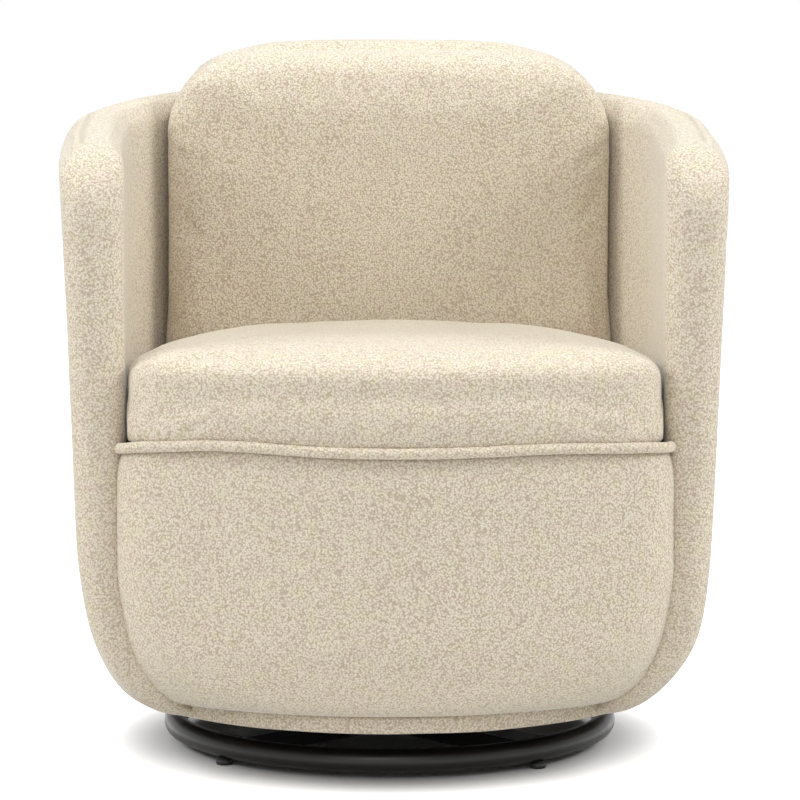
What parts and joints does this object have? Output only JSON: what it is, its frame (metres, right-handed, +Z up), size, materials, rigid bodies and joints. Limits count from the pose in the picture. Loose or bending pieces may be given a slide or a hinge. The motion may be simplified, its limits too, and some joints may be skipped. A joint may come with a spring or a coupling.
{
  "type": "swivel armchair",
  "caption": "Upholstered barrel armchair with a back pillow and a thick seat, on a round tube base that swivels on a ball bearing.",
  "frame": {"origin": "on the floor, on the swivel axis, under the middle of the chair", "axes": "+Z up along the swivel axis; the chair faces -Y; +X is to the right of someone looking at its front"},
  "size_m": [0.71, 0.7334, 0.76],
  "materials": {
    "frame_tube": "black semi-gloss",
    "bearing_plate": "zinc plated",
    "fastener": "zinc plated",
    "bushing": "plain",
    "glide": "plain",
    "batten": "sawn softwood",
    "plywood": "plain plywood",
    "dust_cloth": "thin black cloth",
    "webbing": "elastic webbing",
    "felt": "needled felt",
    "foam": "soft foam",
    "cover": "looped wool cloth"
  },
  "bodies": {
    "base": {"base_ring": "frame_tube", "long_cross_bar": "frame_tube", "short_cross_bars": "frame_tube", "hub_plate": "frame_tube", "floor_glides": "glide", "lower_race": "bearing_plate", "race_rivets": "fastener", "pivot_bolt": "fastener", "pivot_nut": "fastener", "pivot_washers": "fastener"},
    "bearing_cage": {"bearing_balls": "fastener", "ball_cage": "bearing_plate"},
    "seat": {"upper_race": "bearing_plate", "pivot_bushing": "bushing", "mounting_battens": "batten", "mounting_bolts": "fastener", "mounting_washers": "fastener", "tee_nuts": "fastener", "bottom_panel": "plywood", "dust_cover": "dust_cloth", "deck_board": "plywood", "deck_legs": "batten", "front_rail": "batten", "back_rail": "batten", "side_rails": "batten", "corner_blocks": "batten", "webbing_long": "webbing", "webbing_cross": "webbing", "deck_felt": "felt", "front_board": "plywood", "lower_posts": "plywood", "middle_posts": "plywood", "upper_posts": "plywood", "arm_rib": "plywood", "rim_rib": "plywood", "outer_board": "plywood", "shell_foam": "foam", "shell_cover": "cover", "seat_core": "foam", "seat_topper": "foam", "seat_cover": "cover", "pillow_core": "foam", "pillow_cover": "cover", "front_pad": "foam", "front_cover": "cover", "seat_welt": "cover", "bottom_band": "cover"}
  },
  "joints": [
    {"name": "swivel", "type": "hinge", "parent": "base", "child": "seat", "pos_m": [0, 0, 0.0405], "axis": [0, 0, 1], "continuous": true},
    {"name": "bearing_cage_turn", "type": "hinge", "parent": "base", "child": "bearing_cage", "pos_m": [0, 0, 0.0405], "axis": [0, 0, 1], "continuous": true}
  ],
  "couplings": [
    {"joint": "bearing_cage_turn", "follows": "swivel", "ratio": 0.5}
  ]
}
